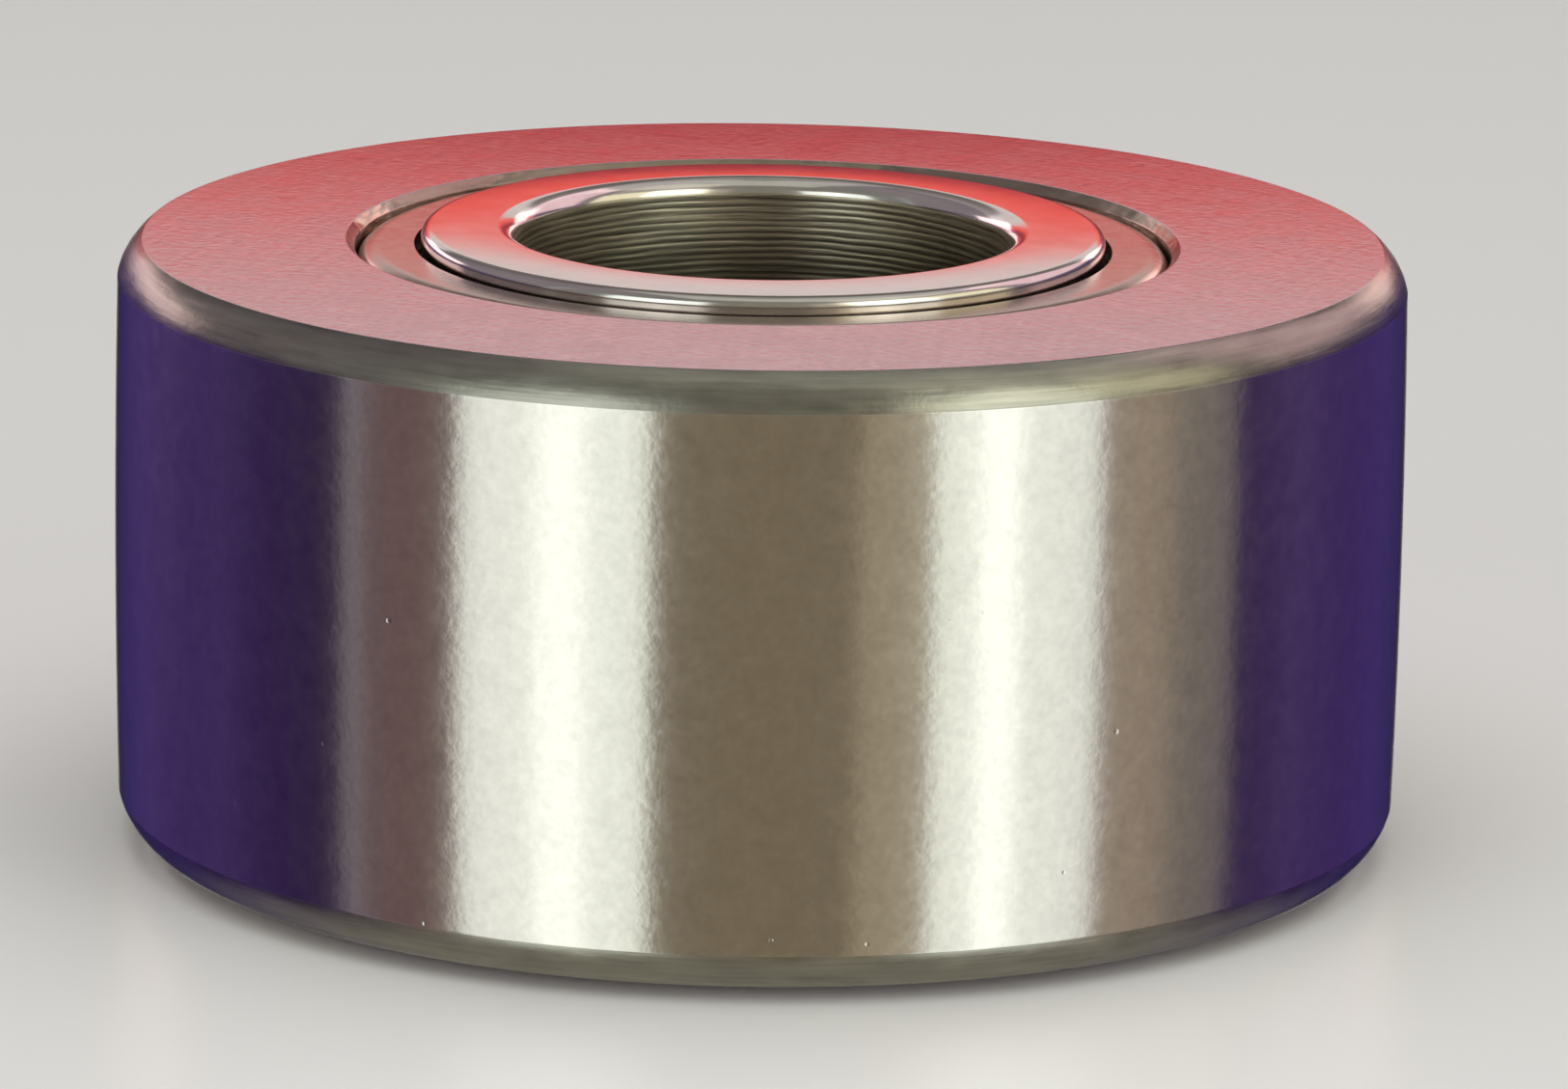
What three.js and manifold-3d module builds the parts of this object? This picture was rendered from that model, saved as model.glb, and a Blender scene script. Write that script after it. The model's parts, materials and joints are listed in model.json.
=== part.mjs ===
// Yoke-type cam follower: a double-row, full-complement cylindrical roller bearing with a thick
// outer ring that runs straight on a cam or rail. Millimetres, +Z along the bearing axis,
// origin at the centre of the bearing.

import * as THREE from "three";
import { mergeVertices } from "three/addons/utils/BufferGeometryUtils.js";
import Module from "manifold-3d";

// ---- Driving dimensions -------------------------------------------------------------------

const BORE_R = 10;
const OUTSIDE_R = 26;
const TOTAL_WIDTH = 25; // over the two flange rings, which are clamped on the stud
const RING_WIDTH = 24; // outer ring alone
const ROLLER_D = 5;
const ROLLER_LENGTH = 7.4;
const ROLLERS_PER_ROW = 18;
const INNER_RACE_R = 12.25;
const CROWN_R = 500; // the running surface is crowned, so a tilted cam doesn't load one edge
const SHEET = 0.8; // thickness of the pressed seal rings

// ---- Sizes that follow ---------------------------------------------------------------------

const HALF_WIDTH = TOTAL_WIDTH / 2;
const HALF_RING = RING_WIDTH / 2;
const PITCH_R = INNER_RACE_R + ROLLER_D / 2;
const OUTER_RACE_R = INNER_RACE_R + ROLLER_D;

const RUNNING_PLAY = 0.04; // taken off each roller's radius, and clears both raceways
const SEAT_GAP = 0.05; // between pieces that are pressed or clamped together
const ROW_GAP = 0.2; // between the inner ends of the two rows
const END_PLAY = 0.1; // between a row and the shoulders that guide it

const ROLLER_R = ROLLER_D / 2 - RUNNING_PLAY;
const ROLLER_CORNER = 0.3;
const ROW_CENTRE_Z = (ROW_GAP + ROLLER_LENGTH) / 2;
const SHOULDER_Z = ROW_GAP / 2 + ROLLER_LENGTH + END_PLAY;

const CORNER_RADIAL = 1.1; // outer ring's outside corner
const CORNER_AXIAL = 1.5;
const CORNER_BULGE_R = 2.6;
const SEAT_R = 16.4; // counterbore that holds a seal ring
const SEAT_Z = 9.4;
const SEAT_CHAMFER = 0.45;
const RIB_R = 16; // bore of the outer ring's two integral ribs

const FLANGE_R = 13.75; // neck of a flange ring, which shows inside the seal ring
const FLANGE_CORNER = 0.42;
const SHOULDER_R = 15.3; // wide end of a flange ring, which guides the roller ends
const SHOULDER_TOP_Z = 10.6;
const BORE_CHAMFER = 0.65;

const SEAL_BORE_R = 14;
const SEAL_FACE_Z = HALF_RING - 0.25;
const SEAL_BEND_R = 0.45;

const OIL_GROOVE_HALF = 0.5;
const OIL_GROOVE_DEPTH = 0.4;
const OIL_HOLE_R = 1;

const RING_SEGMENTS = 72;
const ROLLER_SEGMENTS = 12;
const HOLE_SEGMENTS = 16;

// ---- Helpers -------------------------------------------------------------------------------

const wasm = await Module();
wasm.setup();

const point = (r, z) => new THREE.Vector2(r, z);

// Points along a round corner of a section, both ends included.
function arc(centreR, centreZ, radius, fromAngle, toAngle, steps) {
  return Array.from({ length: steps + 1 }, (_, i) => {
    const a = fromAngle + ((toAngle - fromAngle) * i) / steps;
    return point(centreR + radius * Math.cos(a), centreZ + radius * Math.sin(a));
  });
}

// Points of a shallow outward curve between two corners, both ends included.
function bulge(from, to, radius, steps) {
  const chord = to.clone().sub(from);
  const middle = from.clone().add(to).multiplyScalar(0.5);
  const back = Math.sqrt(radius ** 2 - chord.lengthSq() / 4);
  const inward = point(-chord.y, chord.x).normalize();
  const centre = middle.addScaledVector(inward, back);
  const start = Math.atan2(from.y - centre.y, from.x - centre.x);
  const end = Math.atan2(to.y - centre.y, to.x - centre.x);
  return arc(centre.x, centre.y, radius, start, end, steps);
}

// Turns a section about the Z axis. The section runs counterclockwise, with r to the right.
function turned(section, segments) {
  return new THREE.LatheGeometry(section, segments).rotateX(Math.PI / 2);
}

// Turns a closed section into a ring.
function ring(section) {
  return turned([...section, section[0]], RING_SEGMENTS);
}

// The upper half of a section, with its mirror image below, as one closed section.
function mirrored(upper) {
  const lower = upper.map((p) => point(p.x, -p.y)).reverse();
  return [...lower, ...upper];
}

function solidOf(geometry) {
  const bare = geometry.clone();
  bare.deleteAttribute("normal");
  bare.deleteAttribute("uv");
  const merged = mergeVertices(bare, 1e-4);
  return new wasm.Manifold(
    new wasm.Mesh({
      numProp: 3,
      vertProperties: new Float32Array(merged.attributes.position.array),
      triVerts: new Uint32Array(merged.index.array),
    }),
  );
}

function geometryOf(solid) {
  const { vertProperties, triVerts } = solid.getMesh();
  return new THREE.BufferGeometry()
    .setAttribute("position", new THREE.BufferAttribute(vertProperties, 3))
    .setIndex(new THREE.BufferAttribute(triVerts, 1));
}

// ---- Materials -----------------------------------------------------------------------------

function steel(color, roughness) {
  return new THREE.MeshStandardMaterial({ color, roughness, metalness: 1 });
}

const groundSteel = steel(0xc2bfb6, 0.3);
const flangeSteel = steel(0xd2cfc9, 0.25);
const sheetSteel = steel(0xb9aea6, 0.35);
const racewaySteel = steel(0x8f8b78, 0.35);
const rollerSteel = steel(0xdadbdc, 0.12);

// ---- Pieces --------------------------------------------------------------------------------

// The crowned outside of the outer ring, at height z.
function crownRadius(z) {
  return OUTSIDE_R - CROWN_R + Math.sqrt(CROWN_R ** 2 - z ** 2);
}

// Thick outer ring: crowned outside, two integral ribs inside, and a counterbore at each end.
function outerRing() {
  const crownEndZ = HALF_RING - CORNER_AXIAL;
  const crownSteps = 3;
  const crown = Array.from({ length: crownSteps }, (_, i) => {
    const z = (crownEndZ * (i + 0.5)) / crownSteps;
    return point(crownRadius(z), z);
  });
  const corner = bulge(
    point(crownRadius(crownEndZ), crownEndZ),
    point(OUTSIDE_R - CORNER_RADIAL, HALF_RING),
    CORNER_BULGE_R,
    2,
  );
  const upper = [
    ...crown,
    ...corner,
    point(SEAT_R + SEAT_CHAMFER, HALF_RING),
    point(SEAT_R, HALF_RING - SEAT_CHAMFER),
    point(SEAT_R, SEAT_Z),
    point(RIB_R, SEAT_Z),
    point(RIB_R, SHOULDER_Z),
    point(OUTER_RACE_R, SHOULDER_Z),
  ];
  return ring(mirrored(upper));
}

// Plain inner ring, with a lubrication hole that opens into a groove between the two rows.
function innerRing() {
  const endZ = SHOULDER_Z - SEAT_GAP;
  const grooveR = INNER_RACE_R - OIL_GROOVE_DEPTH;
  const upper = [
    point(grooveR, OIL_GROOVE_HALF),
    point(INNER_RACE_R, OIL_GROOVE_HALF),
    point(INNER_RACE_R, endZ),
    point(BORE_R, endZ),
  ];
  const wall = INNER_RACE_R - BORE_R;
  const drill = new THREE.CylinderGeometry(
    OIL_HOLE_R,
    OIL_HOLE_R,
    3 * wall,
    HOLE_SEGMENTS,
  ).translate(0, BORE_R + wall / 2, 0);
  return geometryOf(solidOf(ring(mirrored(upper))).subtract(solidOf(drill)));
}

// Loose flange ring beside the inner ring: its wide end guides the rollers, its neck is clamped.
function flangeRing() {
  const cornerCentreR = FLANGE_R - FLANGE_CORNER;
  const cornerCentreZ = HALF_WIDTH - FLANGE_CORNER;
  return ring([
    point(BORE_R, SHOULDER_Z),
    point(SHOULDER_R, SHOULDER_Z),
    point(SHOULDER_R, SHOULDER_TOP_Z),
    point(FLANGE_R, SHOULDER_TOP_Z),
    ...arc(cornerCentreR, cornerCentreZ, FLANGE_CORNER, 0, Math.PI / 2, 2),
    point(BORE_R + BORE_CHAMFER, HALF_WIDTH),
    point(BORE_R, HALF_WIDTH - BORE_CHAMFER),
  ]);
}

// Angle-section ring pressed from sheet steel: it closes the gap and keeps the flange ring in.
function sealRing() {
  const outsideR = SEAT_R - SEAT_GAP;
  const bendCentreR = outsideR - SEAL_BEND_R;
  const bendCentreZ = SEAL_FACE_Z - SEAL_BEND_R;
  return ring([
    point(SEAL_BORE_R, SEAL_FACE_Z - SHEET),
    point(outsideR - SHEET, SEAL_FACE_Z - SHEET),
    point(outsideR - SHEET, SEAT_Z + SEAT_GAP),
    point(outsideR, SEAT_Z + SEAT_GAP),
    ...arc(bendCentreR, bendCentreZ, SEAL_BEND_R, 0, Math.PI / 2, 2),
    point(SEAL_BORE_R, SEAL_FACE_Z),
  ]);
}

// Cylindrical roller with flat ends and broken corners, standing along Z.
function roller() {
  const end = ROLLER_LENGTH / 2;
  return turned(
    [
      point(0, -end),
      point(ROLLER_R - ROLLER_CORNER, -end),
      point(ROLLER_R, -end + ROLLER_CORNER),
      point(ROLLER_R, end - ROLLER_CORNER),
      point(ROLLER_R - ROLLER_CORNER, end),
      point(0, end),
    ],
    ROLLER_SEGMENTS,
  );
}

// ---- Assembly ------------------------------------------------------------------------------

function named(name, geometry, material) {
  const mesh = new THREE.Mesh(geometry, material);
  mesh.name = name;
  return mesh;
}

// The pieces that close one end of the bearing, drawn for the upper end.
function endPieces(side) {
  const group = new THREE.Group();
  group.add(
    named(`${side}_flange_ring`, flangeRing(), flangeSteel),
    named(`${side}_seal_ring`, sealRing(), sheetSteel),
  );
  return group;
}

// One row of rollers round the inner ring. startAngle is where its first roller stands.
function rollerRow(side, z, startAngle) {
  const group = new THREE.Group();
  group.position.z = z;
  const shape = roller();
  for (let i = 0; i < ROLLERS_PER_ROW; i++) {
    const angle = startAngle + (2 * Math.PI * i) / ROLLERS_PER_ROW;
    const number = String(i + 1).padStart(2, "0");
    const mesh = named(`${side}_roller_${number}`, shape, rollerSteel);
    mesh.position.set(PITCH_R * Math.cos(angle), PITCH_R * Math.sin(angle), 0);
    group.add(mesh);
  }
  return group;
}

const follower = new THREE.Group();
follower.add(named("outer_ring", outerRing(), groundSteel));
follower.add(named("inner_ring", innerRing(), racewaySteel));
follower.add(endPieces("upper"));

const lowerEnd = endPieces("lower");
lowerEnd.rotation.x = Math.PI;
follower.add(lowerEnd);

// The rows stand half a roller apart, as they settle when the bearing is filled.
follower.add(rollerRow("upper", ROW_CENTRE_Z, 0));
follower.add(rollerRow("lower", -ROW_CENTRE_Z, Math.PI / ROLLERS_PER_ROW));

export default follower;
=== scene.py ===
"""Yoke-type cam follower: fine surfaces and steel finishes for every ring and roller of the frame."""

import json
import math
from collections import namedtuple

import bpy
import numpy as np
from mathutils import Matrix, Vector


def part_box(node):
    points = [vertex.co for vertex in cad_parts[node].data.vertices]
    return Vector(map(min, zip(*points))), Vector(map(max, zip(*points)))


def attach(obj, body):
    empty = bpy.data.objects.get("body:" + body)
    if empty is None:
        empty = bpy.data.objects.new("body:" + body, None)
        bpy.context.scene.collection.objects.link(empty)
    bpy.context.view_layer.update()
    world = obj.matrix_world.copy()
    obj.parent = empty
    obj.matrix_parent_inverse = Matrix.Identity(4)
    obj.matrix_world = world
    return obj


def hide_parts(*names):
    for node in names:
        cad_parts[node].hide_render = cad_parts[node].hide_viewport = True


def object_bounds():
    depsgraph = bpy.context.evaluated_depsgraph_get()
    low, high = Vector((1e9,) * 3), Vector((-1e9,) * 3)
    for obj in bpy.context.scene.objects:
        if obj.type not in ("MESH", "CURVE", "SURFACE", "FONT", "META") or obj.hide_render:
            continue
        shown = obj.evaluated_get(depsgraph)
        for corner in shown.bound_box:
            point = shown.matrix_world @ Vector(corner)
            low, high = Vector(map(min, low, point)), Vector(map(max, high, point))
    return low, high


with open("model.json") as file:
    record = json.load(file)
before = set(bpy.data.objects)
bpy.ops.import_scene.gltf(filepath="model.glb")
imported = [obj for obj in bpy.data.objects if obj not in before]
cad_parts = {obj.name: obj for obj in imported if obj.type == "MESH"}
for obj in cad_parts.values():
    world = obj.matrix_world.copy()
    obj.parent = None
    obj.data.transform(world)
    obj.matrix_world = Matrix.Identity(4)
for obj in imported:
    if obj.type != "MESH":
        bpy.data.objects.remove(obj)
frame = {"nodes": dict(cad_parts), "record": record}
cad_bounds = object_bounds()

bl_info = {
    "name": "Cam Follower",
    "version": (1, 0, 0),
    "blender": (4, 5, 0),
    "location": "3D Viewport > Sidebar > Cam Follower",
    "description": "Builds the rings and rollers of a yoke-type cam follower around its frame",
    "category": "Add Mesh",
}

MM = 0.001
SIDES = {"upper": 1, "lower": -1}
RING_STEPS = 256  # faces round a ring
ROLLER_STEPS = 48
STRAIGHT_SHARE = 0.7  # of a roller's length, before its ends are relieved
WALK_STEP = 0.01 * MM  # spacing of the points while an outline is rounded
TURN_STEP = math.radians(11)  # an outline keeps a point each time it has turned this far
STRAIGHT_STEP = 1.5 * MM  # and each time it has gone this far
BENT = math.radians(0.05)  # a walk step that turns more than this belongs to a corner
ARC_STEPS = 24
SKIN = 0.25  # share of the edge break within which a finish keeps to its own face

Span = namedtuple("Span", "inner outer low high")


def span(node):
    """Smallest and largest radius, and lowest and highest point, of a CAD node turned about Z."""
    mesh = frame["nodes"][node].data
    places = np.empty(len(mesh.vertices) * 3, np.float32)
    mesh.vertices.foreach_get("co", places)
    x, y, z = places.reshape(-1, 3).T
    radius = np.hypot(x, y)
    return Span(*(float(v) for v in (radius.min(), radius.max(), z.min(), z.max())))


def linear(hex_colour):
    """Linear RGB of an sRGB hex colour, by the sRGB curve."""
    values = np.array([int(hex_colour[i : i + 2], 16) for i in (1, 3, 5)]) / 255
    return tuple(np.where(values <= 0.04045, values / 12.92, ((values + 0.055) / 1.055) ** 2.4))


# ---- Settings a user would change ----------------------------------------------------------


def length(name, description, millimetres):
    return bpy.props.FloatProperty(
        name=name, description=description, default=millimetres * MM, min=0, precision=5, unit="LENGTH"
    )


def colour(name, description, hex_colour):
    return bpy.props.FloatVectorProperty(
        name=name, description=description, default=linear(hex_colour), min=0, max=1, subtype="COLOR"
    )


class OuterRingSettings(bpy.types.PropertyGroup):
    crown: length("Crown radius", "Radius of the crowned running surface along the axis", 500)
    corner_radial: length("Corner, radial", "Width of the outside corner on the end face", 1.1)
    corner_axial: length("Corner, axial", "Height of the outside corner", 1.5)
    corner_curve: length("Corner curve", "Radius of the corner's own bulge", 2.6)
    seat_radius: length("Seat radius", "Radius of the counterbore that holds a seal ring", 16.4)
    seat_depth: length("Seat depth", "Depth of that counterbore", 2.6)
    seat_chamfer: length("Seat chamfer", "Chamfer at the counterbore's mouth", 0.35)
    race_radius: length("Raceway radius", "Radius of the outer raceway", 17.25)
    edge: length("Edge break", "How far sharp edges are rounded", 0.07)


class InnerSettings(bpy.types.PropertyGroup):
    bore_chamfer: length("Bore chamfer", "Chamfer at the bore's mouth", 0.65)
    mouth_curve: length("Bore mouth curve", "Radius that the chamfer bulges to", 0.8)
    neck_radius: length("Neck radius", "Radius of a flange ring where it shows", 13.75)
    neck_corner: length("Neck corner", "Radius of the flange ring's visible corner", 0.42)
    shoulder_height: length("Shoulder height", "Top of the flange ring's wide end, above the middle", 10.6)
    face_drop: length("Face drop", "How far a flange ring's face falls from the bore to its corner", 0.054)
    face_curve: length("Face curve", "Radius of that face's own bulge", 67)
    groove_half: length("Groove half width", "Half width of the lubrication groove", 0.5)
    groove_depth: length("Groove depth", "Depth of the lubrication groove", 0.4)
    oil_hole: length("Oil hole radius", "Radius of the lubrication hole", 1)
    edge: length("Edge break", "How far sharp edges are rounded", 0.07)


class SealSettings(bpy.types.PropertyGroup):
    sheet: length("Sheet", "Thickness of the pressed sheet", 0.8)
    bend: length("Bend", "Outside radius of the pressed bend", 0.9)
    edge: length("Edge break", "How far cut edges are rounded", 0.1)


class RollerSettings(bpy.types.PropertyGroup):
    corner: length("Corner", "Height and width of a roller's broken corner", 0.3)
    relief: length("End relief", "How far a roller's ends drop below its middle", 0.006)
    edge: length("Edge break", "How far the corner's own edges are rounded", 0.15)


class FinishSettings(bpy.types.PropertyGroup):
    ground: colour("Ground steel", "Running surface", "#cfcdc6")
    # The face colour's faint lilac tint is painted reflection: a little blue that stands in for violet
    # light the faces would mirror. The rest is the steel's own pale grey.
    face: colour("Ground face", "End faces of the outer ring", "#d4cbd2")
    turned: colour("Turned steel", "Outside corners and hidden turned surfaces", "#a8a79c")
    seat: colour("Seat steel", "Counterbores that hold the seal rings", "#a89b8c")
    flange: colour("Flange steel", "Flange ring faces", "#d9d6d2")
    bore: colour("Bore steel", "Turned bore", "#dcd5bd")
    sheet: colour("Sheet steel", "Pressed seal rings", "#c8b5aa")
    roller: colour("Roller steel", "Superfinished rollers", "#dcdddd")
    floor: colour("Floor", "Plain studio floor", "#e9e8e6")


# ---- Outlines ------------------------------------------------------------------------------


def arc(centre, radius, start, end):
    """Points (r, z) on a circle about centre, from the angle start to the angle end, both included."""
    angle = np.linspace(start, end, ARC_STEPS + 1)
    return np.stack([centre[0] + radius * np.cos(angle), centre[1] + radius * np.sin(angle)], axis=1)


def arc_between(start, end, radius):
    """Points (r, z) on the circle of that radius through start and end, bulging right of the way there.

    The centre lies on the chord's perpendicular bisector, at the distance Pythagoras gives.
    """
    start, end = np.array(start), np.array(end)
    chord = end - start
    reach = np.hypot(*chord)
    left = np.array([-chord[1], chord[0]]) / reach
    centre = (start + end) / 2 + left * math.sqrt(radius**2 - (reach / 2) ** 2)
    angles = [math.atan2(p[1] - centre[1], p[0] - centre[0]) for p in (start, end)]
    return arc(centre, radius, *angles)


def with_mirror(upper):
    """The upper half of an outline after its mirror image in z = 0, as one closed outline."""
    return np.vstack([(upper * (1, -1))[::-1], upper])


def rounded(corners, edge, closed=True):
    """Rounds an outline's corners over a length of about edge, and returns its points and normals.

    The outline is walked in equal small steps, counterclockwise. Each point becomes the mean of
    the points within half an edge of it, which leaves straight stretches where they are, and the
    outward normal is the direction of the walk turned a quarter to the right. An open outline
    starts and ends on the axis, and goes on past it as its own mirror image. Only the points
    where a corner begins or ends, or one more TURN_STEP or STRAIGHT_STEP is done, are kept.
    """
    corners = np.vstack([corners, corners[:1]]) if closed else np.array(corners)
    reach = np.concatenate([[0], np.cumsum(np.hypot(*np.diff(corners, axis=0).T))])
    walk = np.linspace(0, reach[-1], int(reach[-1] / WALK_STEP), endpoint=not closed)
    points = np.stack([np.interp(walk, reach, corners[:, axis]) for axis in (0, 1)], axis=1)

    half = max(1, round(edge / WALK_STEP / 2))
    if closed:
        before, after = points[-half - 1 :], points[: half + 1]
    else:
        mirror = np.array((-1, 1))
        before, after = points[half + 1 : 0 : -1] * mirror, points[-2 : -half - 3 : -1] * mirror
    total = np.cumsum(np.vstack([np.zeros((1, 2)), before, points, after]), axis=0)
    mean = (total[2 * half + 1 :] - total[: -2 * half - 1]) / (2 * half + 1)
    along = mean[2:] - mean[:-2]
    points = mean[1:-1]
    normals = np.stack([along[:, 1], -along[:, 0]], axis=1) / np.hypot(*along.T)[:, None]

    turn = np.diff(np.unwrap(np.arctan2(normals[:, 1], normals[:, 0])))
    turned = np.cumsum(np.abs(turn))
    keep = np.full(len(points), False)
    keep[1:] = np.diff(np.floor(walk / STRAIGHT_STEP)) > 0
    keep[2:] |= np.diff(np.floor(turned / TURN_STEP)) > 0
    keep[1:-1] |= np.diff(np.abs(turn) > BENT)
    keep[[0, -1]] = True
    if closed:
        keep[-1] = False
    return points[keep], normals[keep]


# ---- Meshes --------------------------------------------------------------------------------


def collected(name):
    """The scene's collection of that name, made when it is first asked for."""
    if name not in bpy.data.collections:
        bpy.context.scene.collection.children.link(bpy.data.collections.new(name))
    return bpy.data.collections[name]


def turned_piece(name, outline, steps, materials, finish=None, centre=(0, 0, 0), solid=False):
    """An outline carried round Z: x = r cos t, y = r sin t, z = z, for t all the way round.

    A ring's outline closes on itself. A solid's starts and ends on the axis, where triangles
    close it. finish takes the r and z of the faces' middles and gives each its material's index.
    """
    points, normals = outline
    poles = points[[0, -1]] if solid else points[:0]
    if solid:
        points, normals = points[1:-1], normals[1:-1]
    count = len(points)
    angle = np.linspace(0, 2 * math.pi, steps, endpoint=False)
    circle = np.stack([np.cos(angle), np.sin(angle)], axis=1)[:, None, :]

    def carried(section):
        grid = np.empty((steps, count, 3))
        grid[..., :2] = section[None, :, :1] * circle
        grid[..., 2] = section[:, 1]
        return grid.reshape(-1, 3)

    vertices = carried(points)
    if solid:
        vertices = np.vstack([vertices, [(0, 0, z) for _, z in poles]])
    here = np.arange(steps)[:, None] * count
    there = np.roll(here, -1, axis=0)
    now = np.arange(count - 1 if solid else count)[None, :]
    following = (now + 1) % count
    quads = np.stack([here + now, there + now, there + following, here + following], axis=-1)
    faces = quads.reshape(-1, 4).tolist()
    if solid:
        bottom, top = np.full((2, steps), [[steps * count], [steps * count + 1]])
        here, there = here[:, 0], there[:, 0]
        faces += np.stack([bottom, there, here], axis=1).tolist()
        faces += np.stack([here + count - 1, there + count - 1, top], axis=1).tolist()

    mesh = bpy.data.meshes.new(name)
    mesh.from_pydata((vertices + np.array(centre)).tolist(), [], faces)
    for material in materials:
        mesh.materials.append(material)
    if finish is not None:
        middles = (points + np.roll(points, -1, axis=0)) / 2
        slots = np.tile(finish(*middles.T), steps)
        mesh.polygons.foreach_set("material_index", slots.astype(np.int32))
    mesh.polygons.foreach_set("use_smooth", np.full(len(faces), True))
    mesh.update()
    directions = carried(normals)
    if solid:
        directions = np.vstack([directions, (0, 0, -1), (0, 0, 1)])
    mesh.normals_split_custom_set_from_vertices(directions.tolist())
    piece = bpy.data.objects.new(name, mesh)
    collected("follower").objects.link(piece)
    return piece


def settle(piece, node, body):
    """Hands a piece to the frame: it moves with body and stands for node, which is hidden."""
    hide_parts(node)
    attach(piece, body)


# ---- Materials -----------------------------------------------------------------------------

TONE_FROM = 0.3  # noise at or below this is fully dark
TONE_TO = 0.7  # and from this it is fully light
WAVE_PERIOD = math.pi / 10  # of a wave texture at scale 1
TOOL_FEED = 0.28  # millimetres from one tool mark to the next in the bore
TOOL_WAVER = 0.3  # millimetres that a tool mark wanders
MARKS_LEFT = 0.25  # share of the tool marks' depth where the bore is rubbed smooth
PAINTED_SHADE_BELOW = 7.2  # millimetres from the middle of the bore, up to which its steel is painted fully dark: painted shade
PAINTED_SHADE_ENDS_ABOVE = 10.5  # and from which the painted shade is gone
PAINTED_LIGHT_GAIN = 1.6  # how much lighter than its noise alone the steel is painted near the mouths: painted light
PIT_CELL = 3.125  # millimetres, roughly, from one pit to the next
PIT_EDGE = (0.02, 0.035)  # a pit's flat bottom and its rim, as shares of a cell
FACE_SWEEPS = ((70, -25, 0), (-40, -66, 0))  # millimetres: what the fine arcs on a face curve round


def add(tree, kind, inputs=None, **settings):
    """Adds a node. An input that is a node or a socket is linked, and any other is set as a value."""
    node = tree.nodes.new(kind)
    for name, value in settings.items():
        setattr(node, name, value)
    for key, value in (inputs or {}).items():
        if isinstance(value, bpy.types.Node):
            value = value.outputs[0]
        if isinstance(value, bpy.types.NodeSocket):
            tree.links.new(value, node.inputs[key])
        else:
            node.inputs[key].default_value = value
    return node


def bare_steel(name, anisotropic=0.0):
    """A metal with the default IOR. Its grain goes round Z, as the tool did, so gloss spreads across it."""
    material = bpy.data.materials.new(name)
    material.use_nodes = True
    tree = material.node_tree
    tree.nodes.clear()
    values = {"Metallic": 1.0, "Anisotropic": anisotropic, "Anisotropic Rotation": 0.25}
    shader = add(tree, "ShaderNodeBsdfPrincipled", values)
    if anisotropic:
        tangent = add(tree, "ShaderNodeTangent", direction_type="RADIAL", axis="Z")
        tree.links.new(tangent.outputs[0], shader.inputs["Tangent"])
    add(tree, "ShaderNodeOutputMaterial", {"Surface": shader})
    return material, tree, shader


def in_millimetres(tree):
    """Object coordinates in millimetres."""
    coordinates = add(tree, "ShaderNodeTexCoord").outputs["Object"]
    return add(tree, "ShaderNodeVectorMath", {0: coordinates, "Scale": 1 / MM}, operation="SCALE")


def turning_lines(tree, place, size):
    """Noise in rings round the axis, with size millimetres from one to the next."""
    flat = add(tree, "ShaderNodeVectorMath", {0: place, 1: (1, 1, 0)}, operation="MULTIPLY")
    radius = add(tree, "ShaderNodeVectorMath", {0: flat}, operation="LENGTH").outputs["Value"]
    values = {"W": radius, "Scale": 1 / size, "Detail": 2.0}
    return add(tree, "ShaderNodeTexNoise", values, noise_dimensions="1D")


def finish_steel(tree, shader, colours, tone, roughness, wear, bumps):
    """Colour from dark to light by tone, roughness from low to high by wear, and a chain of bumps.

    tone counts as dark up to TONE_FROM and as light from TONE_TO. Each bump is a height socket
    with its depth in millimetres.
    """
    even = add(tree, "ShaderNodeMapRange", {"Value": tone, "From Min": TONE_FROM, "From Max": TONE_TO})
    dark, light = ((*channels, 1) for channels in colours)
    mixed = add(tree, "ShaderNodeMix", {"Factor": even, "A": dark, "B": light}, data_type="RGBA")
    tree.links.new(mixed.outputs["Result"], shader.inputs["Base Color"])
    values = {"Value": wear, "To Min": roughness[0], "To Max": roughness[1]}
    tree.links.new(add(tree, "ShaderNodeMapRange", values).outputs[0], shader.inputs["Roughness"])
    normal = None
    for height, depth in bumps:
        values = {"Height": height, "Strength": 1.0, "Distance": depth * MM}
        if normal:
            values["Normal"] = normal
        normal = add(tree, "ShaderNodeBump", values)
    if normal:
        tree.links.new(normal.outputs[0], shader.inputs["Normal"])


def shaded(colour_value, share):
    """The colour, darkened to that share."""
    return tuple(channel * share for channel in colour_value)


def stretched_noise(tree, vector, size, detail=2.0):
    """Noise whose spots are size = (x, y, z) millimetres across."""
    scale = tuple(1 / s for s in size)
    mapped = add(tree, "ShaderNodeMapping", {"Vector": vector, "Scale": scale})
    return add(tree, "ShaderNodeTexNoise", {"Vector": mapped, "Scale": 1.0, "Detail": detail})


def blended(tree, first, second):
    """The mean of two sockets or nodes."""
    total = add(tree, "ShaderNodeMath", {0: first, 1: second}, operation="ADD")
    return add(tree, "ShaderNodeMath", {0: total, 1: 0.5}, operation="MULTIPLY")


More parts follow.
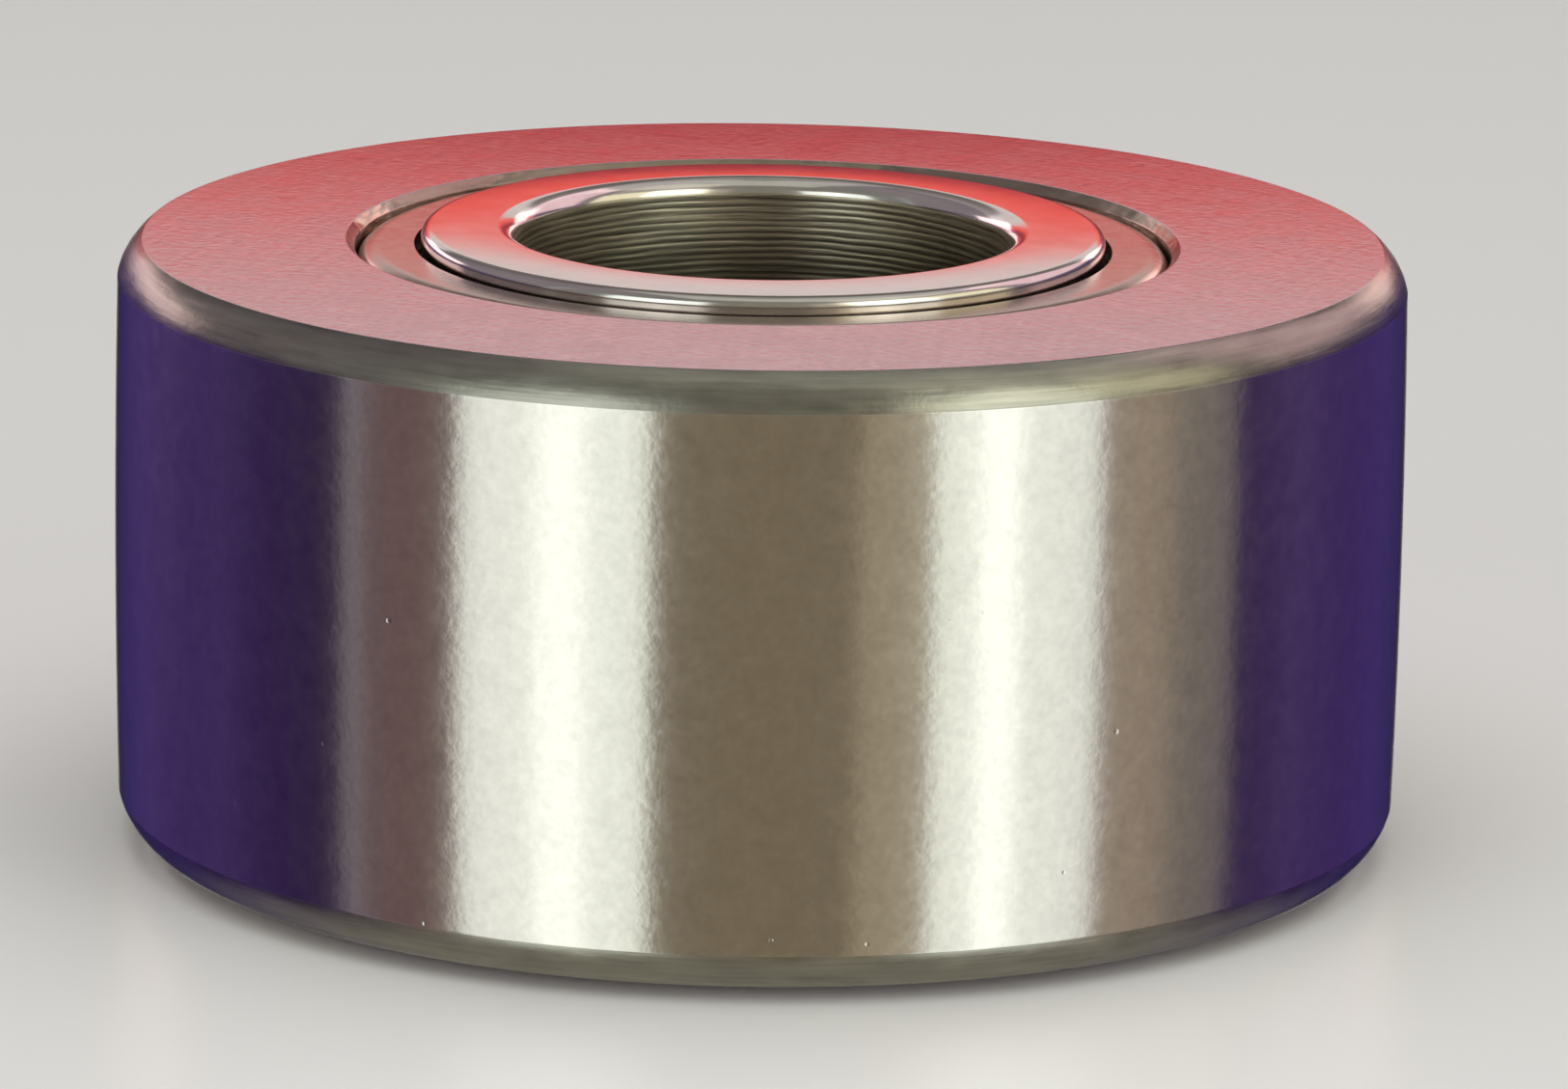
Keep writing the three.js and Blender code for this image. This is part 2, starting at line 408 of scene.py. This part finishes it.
def ground_running_steel(finish):
    """Through-hardened bearing steel, plunge ground round its axis and then tumbled.

    The eye sees gloss drawn out along the axis, across the grinding, faint mottling and a few pits.
    """
    material, tree, shader = bare_steel("ground_running_steel", anisotropic=0.9)
    place = in_millimetres(tree)
    mottling = stretched_noise(tree, place, (0.9, 0.9, 0.9), detail=5)
    grain = stretched_noise(tree, place, (7, 7, 0.12))
    speck = stretched_noise(tree, place, (0.35, 0.35, 0.35), detail=3)
    cell = add(tree, "ShaderNodeTexVoronoi", {"Vector": place, "Scale": 1 / PIT_CELL})
    rim = {"Value": cell.outputs["Distance"], "From Min": PIT_EDGE[0], "From Max": PIT_EDGE[1]}
    pit = add(tree, "ShaderNodeMapRange", rim)
    finish_steel(
        tree,
        shader,
        colours=(shaded(finish.ground, 0.83), finish.ground),
        tone=blended(tree, mottling, speck),
        roughness=(0.19, 0.25),
        wear=mottling,
        bumps=[(speck, 0.0035), (mottling, 0.003), (grain, 0.0004), (pit, 0.012)],
    )
    return material


def turned_steel(name, steel_colour, unevenness):
    """Bearing steel turned before hardening and barrel finished: dull, greyer, with the tool's rings.

    unevenness is the depth of its stains in millimetres.
    """
    material, tree, shader = bare_steel(name, anisotropic=0.5)
    place = in_millimetres(tree)
    stain = stretched_noise(tree, place, (2.5, 2.5, 0.8))
    rings = stretched_noise(tree, place, (4, 4, 0.16), detail=3)
    speck = stretched_noise(tree, place, (0.2, 0.2, 0.2))
    finish_steel(
        tree,
        shader,
        colours=(shaded(steel_colour, 0.62), steel_colour),
        tone=blended(tree, stain, rings),
        roughness=(0.22, 0.36),
        wear=stain,
        bumps=[(rings, 0.01), (speck, 0.004), (stain, unevenness)],
    )
    return material


def ground_face_steel(finish):
    """The same steel, double-disc ground on its end faces: satin, with fine arcs that cross."""
    material, tree, shader = bare_steel("ground_face_steel")
    place = in_millimetres(tree)
    mottling = stretched_noise(tree, place, (1.6, 1.6, 1.6), detail=3)
    grit = stretched_noise(tree, place, (0.4, 0.4, 0.4), detail=4)
    sweeps = []
    for centre in FACE_SWEEPS:
        away = add(tree, "ShaderNodeVectorMath", {0: place, 1: centre}, operation="DISTANCE")
        along = add(tree, "ShaderNodeCombineXYZ", {"X": away.outputs["Value"], "Y": mottling})
        sweeps.append(stretched_noise(tree, along, (0.45, 0.5, 1), detail=3))
    crossed = blended(tree, *sweeps)
    finish_steel(
        tree,
        shader,
        # finish.face carries a painted reflection: its lilac tint stands in for mirrored violet light
        colours=(shaded(finish.face, 0.7), finish.face),
        tone=blended(tree, crossed, grit),
        roughness=(0.18, 0.27),
        wear=mottling,
        bumps=[(grit, 0.014), (crossed, 0.014), (mottling, 0.005)],
    )
    return material


def flange_steel(finish):
    """Bearing steel, face ground and lapped round its axis: the brightest face."""
    material, tree, shader = bare_steel("lapped_flange_steel")
    place = in_millimetres(tree)
    lines = turning_lines(tree, place, 0.125)
    mottling = stretched_noise(tree, place, (1.8, 1.8, 1.8), detail=3)
    finish_steel(
        tree,
        shader,
        colours=(shaded(finish.flange, 0.88), finish.flange),
        tone=mottling,
        roughness=(0.11, 0.17),
        wear=mottling,
        bumps=[(lines, 0.0008), (mottling, 0.0015)],
    )
    return material


def bored_steel(finish):
    """Bearing steel, bored with a fine feed: wavering tool marks about a quarter millimetre apart.

    They are rubbed down in patches. Its colour is painted lighter near the mouths and darker further in:
    painted light and painted shade, by depth.
    """
    material, tree, shader = bare_steel("bored_steel", anisotropic=0.3)
    place = in_millimetres(tree)
    height = add(tree, "ShaderNodeSeparateXYZ", {0: place}).outputs["Z"]
    bent = stretched_noise(tree, place, (5, 5, 2))
    shifted = add(tree, "ShaderNodeMath", {0: bent, 1: TOOL_WAVER, 2: height}, operation="MULTIPLY_ADD")
    feed = add(tree, "ShaderNodeCombineXYZ", {"Z": shifted})
    marks = add(
        tree,
        "ShaderNodeTexWave",
        {"Vector": feed, "Scale": WAVE_PERIOD / TOOL_FEED, "Distortion": 1.0, "Detail": 2.0},
        wave_type="BANDS",
        bands_direction="Z",
    )
    patches = stretched_noise(tree, place, (8, 8, 8), detail=1)
    left = {"Value": patches, "From Min": 0.38, "From Max": 0.6, "To Min": MARKS_LEFT}
    rubbed = add(tree, "ShaderNodeMapRange", left)
    marked = add(tree, "ShaderNodeMath", {0: marks.outputs["Fac"], 1: rubbed}, operation="MULTIPLY")
    scratches = stretched_noise(tree, place, (4, 4, 0.12), detail=3)
    stain = stretched_noise(tree, place, (2, 2, 0.6), detail=3)
    # Painted shade and light: the tone is darkened with depth into the bore and painted lighter near its
    # mouths
    depth = add(tree, "ShaderNodeMath", {0: height}, operation="ABSOLUTE")
    mouths = {"Value": depth, "From Min": PAINTED_SHADE_BELOW, "From Max": PAINTED_SHADE_ENDS_ABOVE, "To Max": PAINTED_LIGHT_GAIN}
    painted_depth_shade = add(tree, "ShaderNodeMapRange", mouths)
    lit = blended(tree, marked, scratches)
    finish_steel(
        tree,
        shader,
        colours=(shaded(finish.bore, 0.28), finish.bore),
        tone=add(tree, "ShaderNodeMath", {0: lit, 1: painted_depth_shade}, operation="MULTIPLY"),
        roughness=(0.28, 0.4),
        wear=stain,
        bumps=[(marked, 0.008), (scratches, 0.012), (stain, 0.015)],
    )
    return material


def pressed_sheet_steel(finish):
    """Cold-rolled sheet, pressed to an angle: satin, faintly uneven, with drawing lines round it."""
    material, tree, shader = bare_steel("pressed_sheet_steel")
    place = in_millimetres(tree)
    peel = stretched_noise(tree, place, (0.5, 0.5, 0.5))
    wave = stretched_noise(tree, place, (3, 3, 3), detail=1)
    lines = turning_lines(tree, place, 0.2)
    finish_steel(
        tree,
        shader,
        colours=(shaded(finish.sheet, 0.82), finish.sheet),
        tone=peel,
        roughness=(0.2, 0.3),
        wear=peel,
        bumps=[(wave, 0.01), (peel, 0.003), (lines, 0.003)],
    )
    return material


def superfinished_steel(finish):
    """Bearing steel rollers, ground and superfinished until they mirror."""
    material, tree, shader = bare_steel("superfinished_roller_steel")
    haze = stretched_noise(tree, in_millimetres(tree), (0.8, 0.8, 0.8))
    finish_steel(
        tree,
        shader,
        colours=(shaded(finish.roller, 0.92), finish.roller),
        tone=haze,
        roughness=(0.07, 0.13),
        wear=haze,
        bumps=[(haze, 0.0005)],
    )
    return material


def plain_floor(finish):
    """Matt laminate: pale and even, with only a trace of gloss."""
    material = bpy.data.materials.new("pale_laminate")
    material.use_nodes = True
    tree = material.node_tree
    shader = tree.nodes["Principled BSDF"]
    shader.inputs["Base Color"].default_value = (*finish.floor, 1)
    shader.inputs["Roughness"].default_value = 0.35
    return material


# ---- Operators -----------------------------------------------------------------------------


class CAMFOLLOWER_OT_outer_ring(bpy.types.Operator):
    """Turns the thick outer ring: crowned outside, round corners, ground faces and two inner ribs"""

    bl_idname = "cam_follower.outer_ring"
    bl_label = "Outer Ring"

    def execute(self, context):
        scene = context.scene
        sizes, finish = scene.follower_outer_ring, scene.follower_finish
        cad = span("outer_ring")
        shoulder = span("upper_flange_ring").low
        crown_end = cad.high - sizes.corner_axial
        lift = math.asin(crown_end / sizes.crown)
        half_step = lift / (2 * ARC_STEPS)
        crown = arc((cad.outer - sizes.crown, 0), sizes.crown, half_step, lift)
        face_edge = (cad.outer - sizes.corner_radial, cad.high)
        corner = arc_between(crown[-1], face_edge, sizes.corner_curve)
        seat_floor = cad.high - sizes.seat_depth
        inside = [
            (sizes.seat_radius + sizes.seat_chamfer, cad.high),
            (sizes.seat_radius, cad.high - sizes.seat_chamfer),
            (sizes.seat_radius, seat_floor),
            (cad.inner, seat_floor),
            (cad.inner, shoulder),
            (sizes.race_radius, shoulder),
        ]
        outline = rounded(with_mirror(np.vstack([crown, corner[1:], inside])), sizes.edge)

        def finish_of(r, z):
            height = np.abs(z)
            running = (r > face_edge[0]) & (height < crown_end)
            face = (height > cad.high - SKIN * sizes.edge) & (r > sizes.seat_radius)
            corner = r > sizes.race_radius
            return np.select([running, face, corner], [0, 1, 2], 3)

        materials = [
            ground_running_steel(finish),
            ground_face_steel(finish),
            turned_steel("turned_corner_steel", finish.turned, 0.03),
            turned_steel("turned_seat_steel", finish.seat, 0.2),
        ]
        ring = turned_piece("turned_outer_ring", outline, RING_STEPS, materials, finish_of)
        settle(ring, "outer_ring", "outer_assembly")
        return {"FINISHED"}


class CAMFOLLOWER_OT_inner_ring(bpy.types.Operator):
    """Turns the inner ring, with a lubrication groove between the rows and a hole into the bore"""

    bl_idname = "cam_follower.inner_ring"
    bl_label = "Inner Ring"

    def execute(self, context):
        scene = context.scene
        sizes, finish = scene.follower_inner, scene.follower_finish
        cad = span("inner_ring")
        groove = cad.outer - sizes.groove_depth
        upper = [
            (groove, sizes.groove_half),
            (cad.outer, sizes.groove_half),
            (cad.outer, cad.high),
            (cad.inner, cad.high),
        ]
        outline = rounded(with_mirror(np.array(upper)), sizes.edge)

        def finish_of(r, z):
            return np.where(r < cad.inner + sizes.edge, 0, 1)

        materials = [bored_steel(finish), turned_steel("turned_race_steel", finish.turned, 0.03)]
        ring = turned_piece("turned_inner_ring", outline, RING_STEPS, materials, finish_of)
        wall = cad.outer - cad.inner
        middle = (cad.inner + cad.outer) / 2
        bar = [(0, -wall), (sizes.oil_hole, -wall), (sizes.oil_hole, wall), (0, wall)]
        drill = turned_piece("drill", rounded(bar, sizes.edge, closed=False), ROLLER_STEPS, [], solid=True)
        drill.data.transform(Matrix.Translation((0, middle, 0)) @ Matrix.Rotation(math.pi / 2, 4, "X"))
        cut = ring.modifiers.new("oil_hole", "BOOLEAN")
        cut.operation = "DIFFERENCE"
        cut.solver = "EXACT"
        cut.object = drill
        weighted = ring.modifiers.new("even_shading", "WEIGHTED_NORMAL")
        weighted.keep_sharp = True
        bpy.context.view_layer.update()
        drilled = bpy.data.meshes.new_from_object(ring.evaluated_get(context.evaluated_depsgraph_get()))
        ring.modifiers.clear()
        ring.data = drilled
        bpy.data.objects.remove(drill)
        settle(ring, "inner_ring", "inner_assembly")
        return {"FINISHED"}


class CAMFOLLOWER_OT_flange_rings(bpy.types.Operator):
    """Turns the two flange rings that guide the rollers and stand proud at each end"""

    bl_idname = "cam_follower.flange_rings"
    bl_label = "Flange Rings"

    def execute(self, context):
        scene = context.scene
        sizes, finish = scene.follower_inner, scene.follower_finish
        cad = span("upper_flange_ring")
        face_end = (sizes.neck_radius - sizes.neck_corner, cad.high - sizes.face_drop)
        round_centre = (face_end[0], face_end[1] - sizes.neck_corner)
        face_start = (cad.inner + sizes.bore_chamfer, cad.high)
        mouth = (cad.inner, cad.high - sizes.bore_chamfer)
        outline = np.vstack(
            [
                [
                    (cad.inner, cad.low),
                    (cad.outer, cad.low),
                    (cad.outer, sizes.shoulder_height),
                    (sizes.neck_radius, sizes.shoulder_height),
                ],
                arc(round_centre, sizes.neck_corner, 0, math.pi / 2),
                arc_between(face_end, face_start, sizes.face_curve)[1:],
                arc_between(face_start, mouth, sizes.mouth_curve)[1:],
            ]
        )

        def finish_of(r, z):
            bore = r < cad.inner + SKIN * sizes.edge
            bright = (np.abs(z) > sizes.shoulder_height) & ~bore
            return np.select([bore, bright], [0, 1], 2)

        materials = [
            bored_steel(finish),
            flange_steel(finish),
            turned_steel("turned_shoulder_steel", finish.turned, 0.03),
        ]
        for side, sign in SIDES.items():
            section = outline if sign > 0 else (outline * (1, -1))[::-1]
            section = rounded(section, sizes.edge)
            node = f"{side}_flange_ring"
            ring = turned_piece(f"turned_{node}", section, RING_STEPS, materials, finish_of)
            settle(ring, node, "inner_assembly")
        return {"FINISHED"}


class CAMFOLLOWER_OT_seal_rings(bpy.types.Operator):
    """Presses the two angle rings that close the outer ring's ends"""

    bl_idname = "cam_follower.seal_rings"
    bl_label = "Seal Rings"

    def execute(self, context):
        scene = context.scene
        sizes, finish = scene.follower_seal, scene.follower_finish
        cad = span("upper_seal_ring")
        bend_centre = (cad.outer - sizes.bend, cad.high - sizes.bend)
        outline = np.vstack(
            [
                [
                    (cad.inner, cad.high - sizes.sheet),
                    (cad.outer - sizes.sheet, cad.high - sizes.sheet),
                    (cad.outer - sizes.sheet, cad.low),
                    (cad.outer, cad.low),
                ],
                arc(bend_centre, sizes.bend, 0, math.pi / 2),
                [(cad.inner, cad.high)],
            ]
        )
        materials = [pressed_sheet_steel(finish)]
        for side, sign in SIDES.items():
            section = outline if sign > 0 else (outline * (1, -1))[::-1]
            section = rounded(section, sizes.edge)
            node = f"{side}_seal_ring"
            ring = turned_piece(f"pressed_{node}", section, RING_STEPS, materials)
            settle(ring, node, "outer_assembly")
        return {"FINISHED"}


class CAMFOLLOWER_OT_rollers(bpy.types.Operator):
    """Turns every roller of the two rows, slightly relieved towards its ends"""

    bl_idname = "cam_follower.rollers"
    bl_label = "Rollers"

    def execute(self, context):
        scene = context.scene
        sizes, finish = scene.follower_roller, scene.follower_finish
        materials = [superfinished_steel(finish)]
        for body, nodes in frame["record"]["behaviour"]["bodies"].items():
            for node in (n for n in nodes if "roller" in n):
                low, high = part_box(node)
                centre, half = (low + high) / 2, (high - low) / 2
                shoulder = half.z - sizes.corner
                upper = [
                    (half.x, 0),
                    (half.x, shoulder * STRAIGHT_SHARE),
                    (half.x - sizes.relief, shoulder),
                    (half.x - sizes.corner, half.z),
                    (0, half.z),
                ]
                outline = rounded(with_mirror(np.array(upper)), sizes.edge, closed=False)
                name = f"ground_{node}"
                roller = turned_piece(name, outline, ROLLER_STEPS, materials, centre=centre, solid=True)
                settle(roller, node, body)
        return {"FINISHED"}


class CAMFOLLOWER_OT_stage(bpy.types.Operator):
    """Sets up the camera, the pale floor and the soft studio lights"""

    bl_idname = "cam_follower.stage"
    bl_label = "Stage"

    def execute(self, context):
        scene = context.scene
        add_camera(scene)
        add_floor(scene)
        add_underside(scene)
        for light in LIGHTS:
            add_softbox(scene, light)
        for panel in PANELS:
            place = Vector((panel.aside, 0, panel.height))
            add_area_light(scene, panel, place, (0, 0, 0), (panel.width, panel.width))
        add_surroundings(scene)
        scene.view_settings.view_transform = "Standard"
        return {"FINISHED"}


# ---- Stage ---------------------------------------------------------------------------------

SENSOR = 36.0  # millimetres
LENS = 199.2  # millimetres
CAMERA_AWAY = 0.3418  # metres from the axis
CAMERA_ABOVE = 0.0812  # metres above the bearing's middle
CAMERA_TILT = 0.235  # radians downwards
CAMERA_HEADING = 0.003  # radians to the right
CAMERA_ROLL = 0.016  # radians anticlockwise, seen from behind the camera

FLOOR_RADIUS = 3.0
UNDERSIDE_RADIUS = 0.024
UNDERSIDE_DEPTH = 0.0001  # it lies that far below the floor, and so in the dark
UNDERSIDE_SPOKES = 48

# Where a softbox stands is given from the bearing: its direction in degrees from the camera's
# side, anticlockwise from above, how many degrees of the horizon it takes up, and its distance in
# metres. low and high are its edges above the floor. Some go on below the floor, as they would in a
# polished table, and only shine on the steel from there. radiance is in watts per square metre and
# steradian, and only names the collection that a light is kept to. The last four are coloured cards
# close behind the bearing, which its upper faces mirror.
Softbox = namedtuple("Softbox", "name direction spread distance low high radiance hex_colour only")
LIGHTS = (
    Softbox("left_softbox", -35.6, 34.3, 0.50, -0.45, 0.34, 1.3, "#f5fffb", None),
    Softbox("left_core", -34.0, 9.0, 0.49, -0.45, 0.34, 0.45, "#ffffff", None),
    Softbox("right_softbox", 45.2, 31.0, 0.50, -0.45, 0.45, 1.2, "#f5fffb", None),
    Softbox("right_core", 41.5, 7.0, 0.49, -0.45, 0.45, 0.6, "#ffffff", None),
    Softbox("right_edge", 23.0, 12.0, 0.50, -0.45, 0.40, 0.2, "#fff2d0", "follower"),
    Softbox("right_shade", 76.0, 28.0, 0.50, -0.45, 0.4, 0.2, "#fff6c4", "follower"),
    Softbox("right_band", 58.0, 64.0, 0.50, 0.12, 0.42, 0.8, "#fff4c6", "follower"),
    Softbox("right_top", 60.0, 60.0, 0.50, 0.45, 1.2, 0.25, "#fff0d0", "follower"),
    Softbox("left_strip", -74.0, 4.0, 0.50, -0.4, 0.4, 0.2, "#d8f0ff", "follower"),
    Softbox("left_low", -138.0, 36.0, 0.50, 0.065, 0.17, 1.9, "#ffdadc", "follower"),
    Softbox("right_high", 122.0, 44.0, 0.50, 0.13, 0.70, 0.85, "#ffd0d8", "follower"),
    Softbox("right_low", 150.0, 16.0, 0.50, 0.065, 0.20, 1.9, "#ffd8d0", "follower"),
    Softbox("back_low", 180.0, 26.0, 0.50, -0.45, -0.02, 0.9, "#fbf7ee", "follower"),
    Softbox("low_card", 180.0, 80.0, 0.06, 0.025, 0.033, 0.3, "#ff5870", "follower"),
    Softbox("rosy_card", 180.0, 80.0, 0.06, 0.033, 0.0393, 1.12, "#ff584e", "follower"),
    Softbox("white_card", 180.0, 80.0, 0.06, 0.0393, 0.056, 0.88, "#fbeeec", "follower"),
    Softbox("high_card", 180.0, 80.0, 0.06, 0.056, 0.12, 0.25, "#e0d2cc", "follower"),
)

# A square panel that looks straight down: how far to the right it hangs, how high and how wide.
Panel = namedtuple("Panel", "name aside height width radiance hex_colour only")
PANELS = (
    Panel("overhead", 0.15, 0.6, 0.7, 0.35, "#f6f8ea", None),
    Panel("floor_wash", 0, 1.2, 2.0, 1.3, "#ffffff", "floor"),
)

# What the steel mirrors beyond the lights, low down and higher up. Both go by the angle from the
# camera's side in degrees.
SURROUNDINGS = (
    (0, "#8f8069"),
    (35, "#897866"),
    (62, "#7b5f60"),
    (76, "#7b6167"),
    (80, "#2f1a49"),
    (98, "#351c5c"),
    (110, "#4a3574"),
    (125, "#422a70"),
    (143, "#45307a"),
    (160, "#2c2560"),
    (168, "#1d1816"),
)
CEILING = ((0, "#948f84"), (60, "#8c8a86"), (100, "#968b90"), (135, "#8a8288"), (160, "#1d1816"))
BELOW = "#aaa498"
CEILING_FROM = 0.0  # sines of the heights between which the one gives way to the other
CEILING_TO = 0.2
DEPTH_FROM = -0.5  # and likewise straight down
DEPTH_TO = -0.85


def add_camera(scene):
    camera = bpy.data.objects.new("camera", bpy.data.cameras.new("camera"))
    camera.data.sensor_width = SENSOR
    camera.data.lens = LENS
    level = Matrix.Rotation(math.pi / 2 - CAMERA_TILT, 4, "X")
    turned = Matrix.Rotation(-CAMERA_HEADING, 4, "Z") @ level @ Matrix.Rotation(CAMERA_ROLL, 4, "Z")
    camera.matrix_world = Matrix.Translation((0, -CAMERA_AWAY, CAMERA_ABOVE)) @ turned
    scene.collection.objects.link(camera)
    scene.camera = camera


def add_floor(scene):
    """A disc on a grid of rings and spokes: x = r cos t, y = r sin t, at the height of the part's base."""
    rings, spokes = 4, 96
    base = cad_bounds[0][2]
    radius = np.linspace(0, FLOOR_RADIUS, rings + 1)[1:, None]
    angle = np.linspace(0, 2 * math.pi, spokes, endpoint=False)
    x, y = radius * np.cos(angle), radius * np.sin(angle)
    vertices = np.vstack([[(0, 0, base)], np.stack([x, y, np.full_like(x, base)], axis=-1).reshape(-1, 3)])
    spoke = np.arange(spokes)
    following = (spoke + 1) % spokes
    middle = np.stack([np.zeros_like(spoke), 1 + spoke, 1 + following], axis=1).tolist()
    start = 1 + spokes * np.arange(rings - 1)[:, None]
    quads = np.stack(
        [start + spoke, start + spokes + spoke, start + spokes + following, start + following], axis=-1
    )
    mesh = bpy.data.meshes.new("floor")
    mesh.from_pydata(vertices.tolist(), [], middle + quads.reshape(-1, 4).tolist())
    mesh.materials.append(plain_floor(scene.follower_finish))
    floor = bpy.data.objects.new("floor", mesh)
    floor.visible_glossy = False
    floor.visible_shadow = False
    collected("floor").objects.link(floor)
    return floor


def add_underside(scene):
    """The dark floor beneath the bearing, which closes the bore's far end for what the steel mirrors.

    A disc of one face: x = r cos t, y = r sin t, just below the part's base.
    """
    base = cad_bounds[0][2] - UNDERSIDE_DEPTH
    angle = np.linspace(0, 2 * math.pi, UNDERSIDE_SPOKES, endpoint=False)
    vertices = np.stack([np.cos(angle), np.sin(angle), np.zeros_like(angle)], axis=1) * UNDERSIDE_RADIUS
    mesh = bpy.data.meshes.new("underside")
    mesh.from_pydata((vertices + (0, 0, base)).tolist(), [], [tuple(range(len(angle)))])
    mesh.materials.append(plain_floor(scene.follower_finish))
    underside = bpy.data.objects.new("underside", mesh)
    collected("floor").objects.link(underside)
    return underside


def add_softbox(scene, box):
    """A rectangle of light that stands upright and faces the bearing."""
    bearing = math.radians(box.direction)
    width = 2 * box.distance * math.tan(math.radians(box.spread / 2))
    middle = cad_bounds[0][2] + (box.low + box.high) / 2
    place = Vector((box.distance * math.sin(bearing), -box.distance * math.cos(bearing), middle))
    turn = (math.pi / 2, 0, bearing)
    add_area_light(scene, box, place, turn, (width, box.high - box.low))


def add_area_light(scene, source, place, turn, size):
    """A rectangle of light with the name, radiance, colour and receivers of its source.

    The radiance is in watts per square metre and steradian, and the power is the radiance times
    the area times pi.
    """
    light = bpy.data.lights.new(source.name, "AREA")
    light.shape = "RECTANGLE"
    light.size, light.size_y = size
    light.energy = source.radiance * size[0] * size[1] * math.pi
    light.color = linear(source.hex_colour)
    lamp = bpy.data.objects.new(source.name, light)
    lamp.location = place
    lamp.rotation_euler = turn
    lamp.visible_camera = False
    if source.only:
        lamp.light_linking.receiver_collection = bpy.data.collections[source.only]
    scene.collection.objects.link(lamp)


def ramp_of(tree, share, stops):
    """A colour ramp through (degrees, colour) stops, over a share of half a turn."""
    ramp = add(tree, "ShaderNodeValToRGB", {0: share})
    elements = ramp.color_ramp.elements
    while len(elements) < len(stops):
        elements.new(1.0)
    for element, (degrees, hex_colour) in zip(elements, stops):
        element.position = degrees / 180
        element.color = (*linear(hex_colour), 1)
    return ramp


def add_surroundings(scene):
    """Pale where the camera looks past the floor. What the steel mirrors is dim, by its direction."""
    world = bpy.data.worlds.new("studio")
    world.use_nodes = True
    tree = world.node_tree
    tree.nodes.clear()
    direction = add(tree, "ShaderNodeTexCoord").outputs["Generated"]
    parts = add(tree, "ShaderNodeSeparateXYZ", {0: direction}).outputs
    front = add(tree, "ShaderNodeMath", {0: parts["Y"], 1: -1.0}, operation="MULTIPLY")
    angle = add(tree, "ShaderNodeMath", {0: parts["X"], 1: front}, operation="ARCTAN2")
    either_way = add(tree, "ShaderNodeMath", {0: angle}, operation="ABSOLUTE")
    share = add(tree, "ShaderNodeMath", {0: either_way, 1: math.pi}, operation="DIVIDE")
    rising = {"Value": parts["Z"], "From Min": CEILING_FROM, "From Max": CEILING_TO}
    sinking = {"Value": parts["Z"], "From Min": DEPTH_FROM, "From Max": DEPTH_TO}
    around = ramp_of(tree, share, SURROUNDINGS)
    for way, colours in ((rising, ramp_of(tree, share, CEILING)), (sinking, (*linear(BELOW), 1))):
        values = {"Factor": add(tree, "ShaderNodeMapRange", way), "A": around, "B": colours}
        around = add(tree, "ShaderNodeMix", values, data_type="RGBA").outputs["Result"]
    dim = add(tree, "ShaderNodeBackground", {"Color": around, "Strength": 1.0})
    seen = add(tree, "ShaderNodeBackground", {"Color": (*scene.follower_finish.floor, 1), "Strength": 1.0})
    path = add(tree, "ShaderNodeLightPath").outputs["Is Camera Ray"]
    mixed = add(tree, "ShaderNodeMixShader", {0: path, 1: dim, 2: seen})
    add(tree, "ShaderNodeOutputWorld", {"Surface": mixed})
    scene.world = world


# ---- Panel and registration ----------------------------------------------------------------

SETTINGS = {
    "follower_outer_ring": OuterRingSettings,
    "follower_inner": InnerSettings,
    "follower_seal": SealSettings,
    "follower_roller": RollerSettings,
    "follower_finish": FinishSettings,
}
OPERATORS = (
    CAMFOLLOWER_OT_outer_ring,
    CAMFOLLOWER_OT_inner_ring,
    CAMFOLLOWER_OT_flange_rings,
    CAMFOLLOWER_OT_seal_rings,
    CAMFOLLOWER_OT_rollers,
    CAMFOLLOWER_OT_stage,
)


class CAMFOLLOWER_PT_panel(bpy.types.Panel):
    """Lists the cam follower's pieces and its stage, with their sizes and colours"""

    bl_idname = "CAMFOLLOWER_PT_panel"
    bl_label = "Cam Follower"
    bl_space_type = "VIEW_3D"
    bl_region_type = "UI"
    bl_category = "Cam Follower"

    def draw(self, context):
        for operator in OPERATORS:
            self.layout.operator(operator.bl_idname)
        for name in SETTINGS:
            settings = getattr(context.scene, name)
            box = self.layout.box()
            for field in settings.__annotations__:
                box.prop(settings, field)


def register():
    for settings in SETTINGS.values():
        bpy.utils.register_class(settings)
    for name, settings in SETTINGS.items():
        setattr(bpy.types.Scene, name, bpy.props.PointerProperty(type=settings))
    for cls in (*OPERATORS, CAMFOLLOWER_PT_panel):
        bpy.utils.register_class(cls)


def unregister():
    for cls in (CAMFOLLOWER_PT_panel, *OPERATORS):
        bpy.utils.unregister_class(cls)
    for name, settings in SETTINGS.items():
        delattr(bpy.types.Scene, name)
        bpy.utils.unregister_class(settings)


def main():
    register()
    bpy.ops.cam_follower.outer_ring()
    bpy.ops.cam_follower.inner_ring()
    bpy.ops.cam_follower.flange_rings()
    bpy.ops.cam_follower.seal_rings()
    bpy.ops.cam_follower.rollers()
    bpy.ops.cam_follower.stage()


if __name__ == "__main__":
    main()
